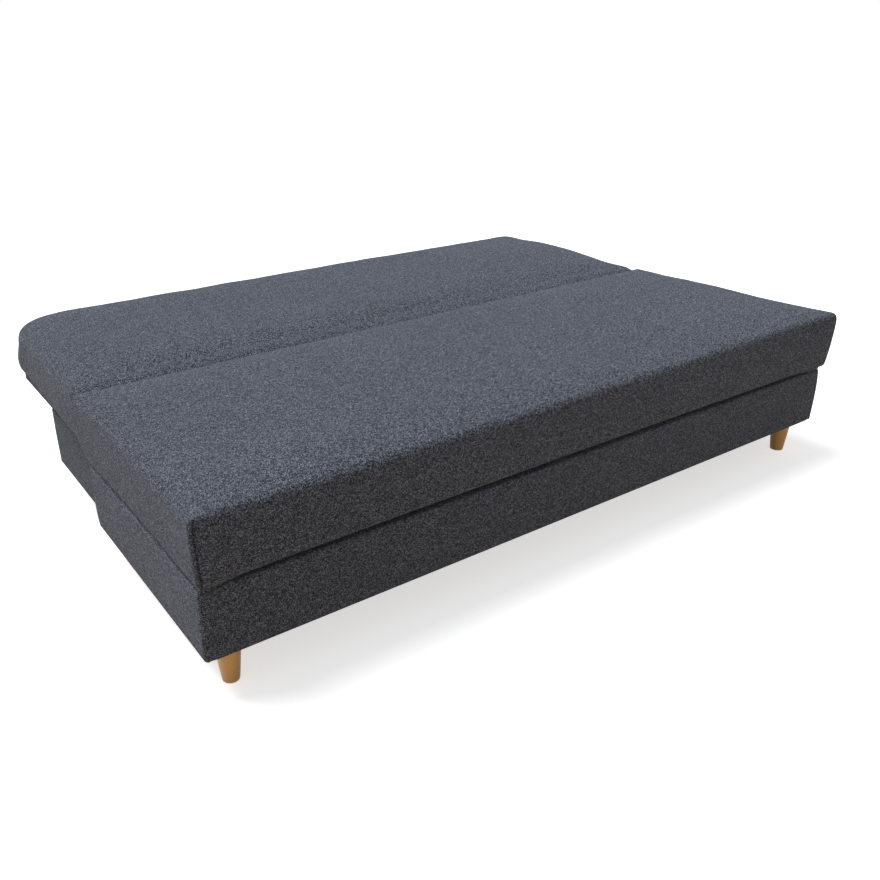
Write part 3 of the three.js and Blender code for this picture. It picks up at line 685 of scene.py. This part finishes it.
class MattressGrid:
    """Points and faces over the six sides of a box of cells. i runs along the bed from the left, j from the
    crease to the outer side, and k down from the top."""

    def __init__(self, mattress):
        self.mattress = mattress
        self.outer, self.outer_length = outer_path(mattress, 0)
        self.end_wall, self.end_wall_length = outer_path(mattress, 1)
        self.crease, self.crease_length = crease_path(mattress)
        self.us, self.vs = graded(ALONG), graded_to_corner(mattress)
        self.index, self.points, self.faces, self.maps = {}, [], [], []
        low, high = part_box(mattress["name"] + "_bottom_panel")
        self.panel_x = high.x + PANEL_GAP
        self.rail_x = FRAME_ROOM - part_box(mattress["name"] + "_left_rail")[0].x
        rails = [corner.y - CREASE_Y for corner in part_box(mattress["name"] + "_outer_rail")]
        self.rail_reach = FRAME_CORNER_ROOM + max(abs(y) for y in rails)
        reach = sorted(abs(y - CREASE_Y) for y in (low.y, high.y))
        self.panel_reach = (reach[0] - PANEL_GAP, reach[1] + PANEL_GAP)
        self.end_lengths = [self.end_length(i) for i in (0, ALONG)]

    def end_length(self, i):
        """Lengths from the crease, round one end at mid height."""
        plan = np.array([self.side_point(i, j, HIGH // 2)[:2] for j in range(ACROSS + 1)])
        return np.concatenate([[0], np.cumsum(np.hypot(*np.diff(plan, axis=0).T))])

    def frame_limit(self, distance):
        """Half the frame's length with its cover's room, at a distance from the crease."""
        beyond = self.panel_reach[1] - self.rail_reach
        if distance <= self.panel_reach[1]:
            return lerp(self.rail_x, self.panel_x + FRAME_ROOM, max(0, distance - self.rail_reach) / beyond)
        return self.panel_x + FRAME_ROOM - FRAME_CORNER_SLOPE * (distance - self.panel_reach[1])

    def arch(self, from_crease, from_end):
        """How much the lower edge rises near an end of the crease, along a quarter of an ellipse."""
        rise, length = self.mattress["arch"]
        t = max(0.0, 1 - from_crease / length)
        return rise * (1 - math.sqrt(1 - t * t)) * (1 - ease(from_end / ARCH_REACH))

    def side_point(self, i, j, k):
        """Place along the bed, distance from the crease and height above the underside."""
        mattress = self.mattress
        u, v = self.us[i], self.vs[j]
        depth = mattress["depth"]
        from_end = min(u, 1 - u) * BED_LENGTH
        from_outer = (1 - v) * depth
        inset, level = self.outer[k]
        end_inset, end_level = self.end_wall[k]
        level = lerp(level, end_level, ease(from_outer / END_BLEND))
        near, crease_level = self.crease[k]
        height = lerp(crease_level, level, ease(v * depth / CREASE_BLEND))
        swell = hump(level / HEIGHT) if 0 < k < HIGH else 0
        share = mattress["corner_share"]
        flare = mattress["flare"] * height / HEIGHT

        # How far in the ends lie, and half the length that leaves at each end, round the outer corners
        near_side = ease(min(v, 1 - v) * depth / CORNER_LENGTH)
        near_end = ease(from_end / CORNER_LENGTH)
        end_in = end_inset * lerp(share, 1, near_side) - END_BULGE * swell + DRAW_IN * hump(v)
        end_in += mattress["step"] * (1 - ease(v * depth / CORNER_LENGTH))
        end_in -= flare * (1 - ease(from_outer / CORNER_LENGTH))
        if k > LIP:
            end_in += mattress["arch_recess"] * (1 - ease(v * depth / ARCH_RECESS_LENGTH))
        ends = []
        lowness = 1 - ease((level - FRAME_TOP) / CORNER_CHANGE)
        for radius, low_radius in zip(mattress["corner_radius"], mattress["low_radius"]):
            radius = lerp(radius, low_radius, lowness)
            into_corner = max(0.0, radius - from_outer)
            ends.append(BED_LENGTH / 2 - end_in - radius + math.sqrt(radius**2 - into_corner**2))

        outer_in = inset * lerp(share, 1, near_end) - mattress["bulge"] * swell + DRAW_IN * hump(u)
        outer_in -= flare * (1 - near_end)
        distance = lerp(near, depth - outer_in, v)
        x = lerp(-ends[0], ends[1], u) + mattress["lean"] * v
        if i in (0, ALONG):
            x = math.copysign(lerp(abs(x), max(abs(x), self.frame_limit(distance)), lowness), x)

        if k < HIGH:
            height += self.arch(v * depth, from_end) * (1 - height / HEIGHT)
        height += risen(mattress, u, v) * ease(height / HEIGHT)
        if k == 0:
            power_u, power_v = mattress["crown_powers"]
            height += mattress["crown"] * (1 - abs(2 * u - 1) ** power_u) * (1 - abs(2 * v - 1) ** power_v)
        return x, distance, height

    def underside_point(self, i, j):
        """Inside the hem the underside steps up over the bottom panel."""
        x, distance, height = self.side_point(i, j, HIGH)
        if within(i, j, 1):
            shares = []
            for place, cells in ((i, ALONG), (j, ACROSS)):
                inner = min(max(place, HEM_CELLS), cells - HEM_CELLS) - HEM_CELLS
                shares.append(inner / (cells - 2 * HEM_CELLS))
            x = lerp(-self.panel_x, self.panel_x, shares[0])
            distance = lerp(*self.panel_reach, shares[1])
            if within(i, j, HEM_CELLS):
                height = HEM_RECESS
        return x, distance, height

    def at(self, key):
        """The index of point i, j, k, which is made when it is first asked for."""
        if key not in self.index:
            i, j, k = key
            x, distance, height = self.underside_point(i, j) if k == HIGH else self.side_point(i, j, k)
            self.index[key] = len(self.points)
            self.points.append((x, CREASE_Y + self.mattress["towards"] * distance, UNDERSIDE + height))
        return self.index[key]

    def quad(self, corners, cloth, flip):
        """A face, and its place on the cloth map."""
        ids = [self.at(corner) for corner in corners]
        maps = [cloth(self.points[n], corner) for n, corner in zip(ids, corners)]
        if flip:
            ids.reverse()
            maps.reverse()
        self.faces.append(ids)
        self.maps.extend(maps)

    def build(self):
        depth = self.mattress["depth"]
        seatwards = self.mattress["towards"] < 0

        def across(point):
            return abs(point[1] - CREASE_Y)

        def on_top(point, key):
            return point[0], across(point)

        def on_underside(point, key):
            return point[0], across(point) + 2 * depth

        def on_outer(point, key):
            return point[0], depth + self.outer_length[key[2]]

        def on_crease(point, key):
            return point[0], -self.crease_length[key[2]]

        def on_end(point, key):
            return self.end_lengths[key[0] > 0][key[1]] + 2 * BED_LENGTH, -self.end_wall_length[key[2]]

        for i in range(ALONG):
            for j in range(ACROSS):
                for k, cloth, flip in ((0, on_top, seatwards), (HIGH, on_underside, not seatwards)):
                    self.quad([(i, j, k), (i + 1, j, k), (i + 1, j + 1, k), (i, j + 1, k)], cloth, flip)
            for k in range(HIGH):
                for j, cloth, flip in ((ACROSS, on_outer, seatwards), (0, on_crease, not seatwards)):
                    self.quad([(i, j, k), (i, j, k + 1), (i + 1, j, k + 1), (i + 1, j, k)], cloth, not flip)
        for j in range(ACROSS):
            for k in range(HIGH):
                for i in (0, ALONG):
                    flip = seatwards == (i == 0)
                    self.quad([(i, j, k), (i, j + 1, k), (i, j + 1, k + 1), (i, j, k + 1)], on_end, flip)
        return mesh_of(self.mattress["name"] + "_mattress", self.points, self.faces, self.maps)


def mark_creases(mesh, grid):
    """Keeps the hem, the step inside it and the lip sharp when the mesh is smoothed."""
    hem, step, lip = set(), set(), set()
    for (i, j, k), n in grid.index.items():
        if k == HIGH and (i in (0, ALONG) or j == ACROSS):
            hem.add(n)
        elif k == HIGH and within(i, j, 1) and not within(i, j, HEM_CELLS + 1):
            step.add(n)
        elif k == LIP and j:
            lip.add(n)
    creases = mesh.attributes.new("crease_edge", "FLOAT", "EDGE")
    for edge in mesh.edges:
        ends = set(edge.vertices)
        if ends <= step or ends <= hem:
            creases.data[edge.index].value = 1.0
        elif ends <= lip:
            creases.data[edge.index].value = LIP_CRISPNESS


def mark_seams(piece, grid):
    """Puts the upright seams at the outer corners in a group, which sew() cuts along."""
    seam = piece.vertex_groups.new(name="seam")
    for (i, j, k), n in grid.index.items():
        if i in (0, ALONG) and j == ACROSS and SEAM_TOP <= k <= LIP:
            seam.add([n], 1.0, "REPLACE")


def unevenness(point, normal, mattress):
    """How far stretched cloth stands in or out of the plain form, with puckers up the outer corners."""
    place = Vector(point)
    fine_size, fine_depth = FINE_WAVE
    waves = noise.noise(place / WAVE_SIZE) + fine_depth * noise.noise(place / (WAVE_SIZE * fine_size))
    distance = abs(point[1] - CREASE_Y)
    from_corner = math.hypot(BED_LENGTH / 2 - abs(point[0]), mattress["depth"] - distance)
    near = 1 - ease(from_corner / PUCKER_REACH)
    upright = 1 - abs(normal[2])
    along = distance if abs(normal[0]) > abs(normal[1]) else abs(point[0])
    pleat = noise.noise(Vector((along / PUCKER_WIDTH, point[2] / PUCKER_HEIGHT, point[0] > 0)))
    return waves * WAVE_DEPTH + mattress["pucker"] * pleat * near * upright


def eased_past(distance, limits):
    """0 up to the first of the limits, then rising to 1 over the second."""
    return ease((distance - limits[0]) / limits[1])


def roughen(piece, mattress):
    """Gives the smooth cloth its unevenness, but not at the crease or the hem."""
    mesh = piece.data
    moved = coordinates(mesh)
    normals = np.empty(len(mesh.vertices) * 3, dtype=np.float32)
    mesh.vertex_normals.foreach_get("vector", normals)
    normals = normals.reshape(-1, 3)
    for n, (point, normal) in enumerate(zip(moved.copy(), normals)):
        distance = abs(point[1] - CREASE_Y)
        free = eased_past(distance, SMOOTH_AT_CREASE) * eased_past(point[2] - UNDERSIDE, SMOOTH_AT_HEM)
        if free > 0:
            moved[n] += normal * unevenness(point, normal, mattress) * free
    mesh.vertices.foreach_set("co", moved.ravel())
    mesh.update()


def sew(piece):
    """Cuts a narrow groove along the corner seams."""
    group = piece.vertex_groups["seam"].index
    mesh = bmesh.new()
    mesh.from_mesh(piece.data)
    layer = mesh.verts.layers.deform.verify()
    on_seam = {v for v in mesh.verts if v[layer].get(group, 0) > IN_GROUP}
    edges = [e for e in mesh.edges if e.verts[0] in on_seam and e.verts[1] in on_seam]
    options = {"offset": SEAM_WIDTH, "segments": 2, "affect": "EDGES", "clamp_overlap": True}
    made = bmesh.ops.bevel(mesh, geom=edges, **options)
    strips = set(made["faces"])
    mesh.normal_update()
    for vert in {v for face in strips for v in face.verts}:
        if all(face in strips for face in vert.link_faces):
            vert.co -= vert.normal * SEAM_DEPTH
    mesh.to_mesh(piece.data)
    mesh.free()


def lengthwise_solid(name, xs, outline):
    """A closed solid whose outline, (y, z) points turning from +y towards +z, is the same all along x."""
    count = len(outline)
    points = [(x, y, z) for x in xs for y, z in outline]
    faces = [tuple(reversed(range(count))), tuple(range(count, 2 * count))]
    for n in range(count):
        after = (n + 1) % count
        faces.append((n, after, count + after, count + n))
    maps = [(points[n][0] + points[n][1], points[n][2]) for face in faces for n in face]
    return mesh_of(name, points, faces, maps)


def round_pivot(radius, start, end, steps):
    """Points about the pivot, at angles from straight up towards +y."""
    angles = np.linspace(start, end, steps)
    return [(CREASE_Y + radius * math.sin(a), PIVOT_Z + radius * math.cos(a)) for a in angles]


def hinge_span(hand):
    """Where a hinge lies along the crease, and the radius of its eyes."""
    low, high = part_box("pivot_pin_" + hand)
    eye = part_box("base_bracket_" + hand)[1].z - PIVOT_Z
    return (low.x - HINGE_SIDE_ROOM, high.x + HINGE_SIDE_ROOM), eye


def cut_pockets(piece, mattress):
    """Room for the hinges: round each pin, and below it for the arms and pawls."""
    pockets = []
    for hand in ("left", "right"):
        xs, eye = hinge_span(hand)
        radius = eye + WRAP_OVER_EYE + WRAP_THICKNESS + POCKET_ROOM
        near = CREASE_Y - mattress["towards"] * radius
        far = CREASE_Y + mattress["towards"] * POCKET_DEPTH
        sides = sorted((near, far))
        turn = math.pi - math.acos(eye / radius)
        arc = round_pivot(radius, turn, -turn, POCKET_POINTS)
        low, top = UNDERSIDE - radius, arc[0][1]
        below = [(sides[0], top), (sides[0], low), (sides[1], low), (sides[1], top)]
        pockets.append(lengthwise_solid("pocket", xs, below + arc))
    cutter = link(bpy.data.objects.new("pockets", joined(pockets)))
    cutter.data.materials.append(materials["upholstery"])
    modifier = piece.modifiers.new("pockets", "BOOLEAN")
    modifier.operation = "DIFFERENCE"
    modifier.solver = "EXACT"
    modifier.object = cutter
    apply_modifiers(piece)
    bpy.data.objects.remove(cutter)


def make_hinge_wraps():
    """Cloth over the eyes of each hinge, which closes the pockets where the crease opens above them."""
    for hand in ("left", "right"):
        xs, eye = hinge_span(hand)
        xs = (xs[0] + WRAP_OVER_EYE, xs[1] - WRAP_OVER_EYE)
        inner = round_pivot(eye + WRAP_OVER_EYE, *WRAP_REACH, WRAP_POINTS)
        outer = round_pivot(eye + WRAP_OVER_EYE + WRAP_THICKNESS, *WRAP_REACH[::-1], WRAP_POINTS)
        wrap = lengthwise_solid("hinge_wrap", xs, inner + outer)
        make_piece("hinge_wrap_" + hand, wrap, "base", "upholstery")


def make_mattress(mattress):
    name = mattress["name"]
    grid = MattressGrid(mattress)
    mesh = grid.build()
    mark_creases(mesh, grid)
    piece = make_piece(name + "_mattress", mesh, name, "upholstery", name + "_cover", name + "_foam")
    mark_seams(piece, grid)
    smoother = piece.modifiers.new("smooth", "SUBSURF")
    smoother.levels = smoother.render_levels = 1
    apply_modifiers(piece)
    roughen(piece, mattress)
    sew(piece)
    cut_pockets(piece, mattress)
    piece.data.shade_smooth()


# The base's cloth


def bent_path(corners, radius, spacing):
    """Points along straight runs joined by rounded corners, each with its outward normal, seen from above."""
    path = []
    corners = [Vector(corner) for corner in corners]
    last = len(corners) - 1
    for n, corner in enumerate(corners):
        before = (corner - corners[n - 1]).normalized() if n else None
        after = (corners[n + 1] - corner).normalized() if n < last else None
        if before is None or after is None:
            way = after or before
            path.append((corner, Vector((way.y, -way.x))))
            continue
        start, end = corner - before * radius, corner + after * radius
        centre = start + after * radius
        out_from, out_to = (start - centre).normalized(), (end - centre).normalized()
        for t in np.linspace(0, 1, BEND_POINTS):
            out = out_from.slerp(out_to, t)
            path.append((centre + out * radius, out))
    dense = [path[0]]
    for (a, out_a), (b, out_b) in zip(path, path[1:]):
        steps = max(1, round((b - a).length / spacing))
        for n in range(1, steps + 1):
            dense.append((a.lerp(b, n / steps), out_a.lerp(out_b, n / steps).normalized()))
    return dense


def cloth_wall(name, path, thickness, zs, swell, shoulder, seams):
    """A band of cloth along a path, its outer face on the path, closed all round. It rounds in at the top."""
    low, high = zs
    span = high - low
    edge = SKIRT_EDGE
    rows = [(edge, 0), (0, edge)]
    rows += [(0, height) for height in np.linspace(edge, span - shoulder, SKIRT_ROWS + 1)[1:]]
    for angle in np.linspace(0, math.pi / 2, SHOULDER_ROWS + 1)[1:]:
        rows.append((thickness * (1 - math.cos(angle)), span - shoulder * (1 - math.sin(angle))))
    rows += [(thickness, span / 2), (thickness, 0)]
    along, lengths, points, faces, maps = 0.0, [], [], [], []
    for n, (place, out) in enumerate(path):
        along += (place - path[n - 1][0]).length if n else 0
        lengths.append(along)
        nearest = min(((place - corner).length for corner in seams), default=SKIRT_SEAM_REACH)
        seam = 1 - min(1, nearest / SKIRT_SEAM_REACH)
        for depth, height in rows:
            proud = 0
            if depth < thickness:
                wave = noise.noise(Vector((place.x, place.y, low + height)) / WAVE_SIZE) * WAVE_DEPTH
                proud = (swell + wave) * hump(height / span) - SKIRT_SEAM * seam
            spot = place + out * (proud - depth)
            points.append((spot.x, spot.y, low + height))
    count = len(rows)
    for n in range(len(path) - 1):
        for row in range(count):
            following = (row + 1) % count
            here, there = n * count, (n + 1) * count
            faces.append([here + row, there + row, there + following, here + following])
            run = [(n, row), (n + 1, row), (n + 1, row + 1), (n, row + 1)]
            for station, line in run:
                depth, height = rows[line % count]
                maps.append((lengths[station], height + depth))
    for n, flip in ((0, False), (len(path) - 1, True)):
        face = [n * count + row for row in range(count)]
        if flip:
            face.reverse()
        faces.append(face)
        maps.extend(rows[m % count] for m in face)
    return mesh_of(name, points, faces, maps)


def flap(name, corners, depth, board_top):
    """A flat band of cloth over the boards, inside a path of straight runs, mitred at its corners."""
    corners = [Vector(corner) for corner in corners]
    low = board_top + FLAP_GAP
    high = low + FLAP_THICKNESS
    inner = []
    for n, corner in enumerate(corners):
        runs = [(corners[n + way] - corner) * way for way in (-1, 1) if 0 <= n + way < len(corners)]
        inwards = [Vector((-run.y, run.x)).normalized() for run in runs]
        inner.append(corner + sum(inwards, Vector((0, 0))) * depth)
    stations = [(corners[0], inner[0])]
    for n in range(len(corners) - 1):
        steps = max(1, round((corners[n + 1] - corners[n]).length / FLAP_SPACING))
        for step in range(1, steps + 1):
            t = step / steps
            stations.append((corners[n].lerp(corners[n + 1], t), inner[n].lerp(inner[n + 1], t)))
    points, faces, maps = [], [], []
    for outside, inside in stations:
        for spot, z in ((outside, low), (outside, high), (inside, high), (inside, low)):
            points.append((spot.x, spot.y, z))
    ring = 4  # points round the band's section
    for n in range(len(stations) - 1):
        here, there = ring * n, ring * (n + 1)
        for side in range(ring):
            after = (side + 1) % ring
            faces.append([here + side, there + side, there + after, here + after])
    last = ring * (len(stations) - 1)
    faces += [[3, 2, 1, 0], [last, last + 1, last + 2, last + 3]]
    maps = [(points[n][0] + points[n][2], points[n][1]) for face in faces for n in face]
    return mesh_of(name, points, faces, maps)


def make_base_cloth():
    """The padded cloth round the front and the plain one round the rear. Both lie in over the boards. The
    rear cloth is made darker, partly for its own plainer colour and partly as painted shade; the front flap
    is darker as painted shade in the slot under the seat's lip.
    """
    low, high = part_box("front_skirt_cover")
    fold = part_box("base_left_board")[0].x  # the cloth folds in behind the padded end boards
    left, right = low.x - SKIRT_PROUD, high.x + SKIRT_PROUD
    rear = high.y
    corners = [(fold, rear), (left, rear), (left, low.y), (right, low.y), (right, rear), (-fold, rear)]
    seams = [Vector((left + CORNER_BEND, low.y)), Vector((right - CORNER_BEND, low.y))]
    path = bent_path(corners, CORNER_BEND, SKIRT_SPACING)
    thickness = SKIRT_PADDING
    mesh = cloth_wall("front_skirt", path, thickness, (low.z, high.z), SKIRT_SWELL, SKIRT_SHOULDER, seams)
    skirt = make_piece("front_skirt", mesh, "base", "upholstery", "front_skirt_cover")
    inner, front = left + thickness, low.y + thickness
    corners = [(inner, rear), (inner, front), (-inner, front), (-inner, rear)]
    over = flap("skirt_flap", corners, FLAP_DEPTH, high.z)
    # Painted shade: the flap in the slot under the seat's front lip takes the darker cloth.
    make_piece("skirt_flap", over, "base", "upholstery", look="darker_cloth_painted_shade")

    low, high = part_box("rear_skirt_cover")
    corners = [(high.x, low.y), (high.x, high.y), (low.x, high.y), (low.x, low.y)]
    path = bent_path(corners, REAR_BEND, REAR_SPACING)
    mesh = cloth_wall("rear_skirt", path, REAR_CLOTH, (low.z, high.z), REAR_SWELL, REAR_CLOTH, [])
    # Darker cloth here: partly the plainer rear cloth, partly painted shade where the rear base is set in.
    make_piece("rear_skirt", mesh, "base", "upholstery", "rear_skirt_cover", look="darker_cloth_painted_shade")
    inner, outer = low.x + REAR_CLOTH, high.y - REAR_CLOTH
    corners = [(-inner, low.y), (-inner, outer), (inner, outer), (inner, low.y)]
    over = flap("rear_flap", corners, REAR_FLAP_DEPTH, high.z)
    make_piece("rear_flap", over, "base", "upholstery")


# The legs


def make_legs():
    """Four turned legs, which widen from a rounded foot to the top."""
    for row in ("front", "rear"):
        for hand in ("left", "right"):
            node = f"leg_{row}_{hand}"
            low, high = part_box(node)
            middle = (low + high) / 2
            top_radius = (high.x - low.x) / 2
            foot_radius = top_radius * LEG_TAPER
            profile = [(0, 0)]
            for n in range(LEG_EDGE_STEPS + 1):
                angle = math.pi / 2 * n / LEG_EDGE_STEPS
                edge = LEG_BEVEL * (1 - math.cos(angle))
                profile.append((foot_radius - LEG_BEVEL + LEG_BEVEL * math.sin(angle), edge))
            for n in range(1, LEG_ROWS + 1):
                height = lerp(LEG_BEVEL, high.z - LEG_BEVEL, n / LEG_ROWS)
                profile.append((lerp(foot_radius, top_radius, height / high.z), height))
            profile.append((top_radius - LEG_BEVEL / 2, high.z))
            profile.append((0, high.z))
            make_leg(node, profile, middle)


def make_leg(node, profile, middle):
    """A leg turned about an upright line through its middle, by radius and height up its profile."""
    points, faces = [], []
    for radius, height in profile:
        for n in range(LEG_SEGMENTS if radius else 1):
            angle = 2 * math.pi * n / LEG_SEGMENTS
            points.append((middle.x + radius * math.cos(angle), middle.y + radius * math.sin(angle), height))
    count = LEG_SEGMENTS
    for n in range(count):
        faces.append((0, 1 + (n + 1) % count, 1 + n))
        for ring in range(len(profile) - 3):
            a, b = 1 + ring * count, 1 + (ring + 1) * count
            faces.append((a + n, a + (n + 1) % count, b + (n + 1) % count, b + n))
        last = 1 + (len(profile) - 3) * count
        faces.append((last + n, last + (n + 1) % count, len(points) - 1))
    make_piece("turned_" + node, mesh_of(node, points, faces, None), "base", "beech", node)


def dress_nodes():
    """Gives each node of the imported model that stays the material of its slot."""
    for name, node in frame["nodes"].items():
        for place in node.material_slots:
            place.material = materials[slot_of[name]]


make_camera()
make_world()
make_lights()
make_floor()
materials = make_materials()
dress_nodes()
for mattress in (SEAT, BACK):
    make_mattress(mattress)
make_hinge_wraps()
make_base_cloth()
make_legs()
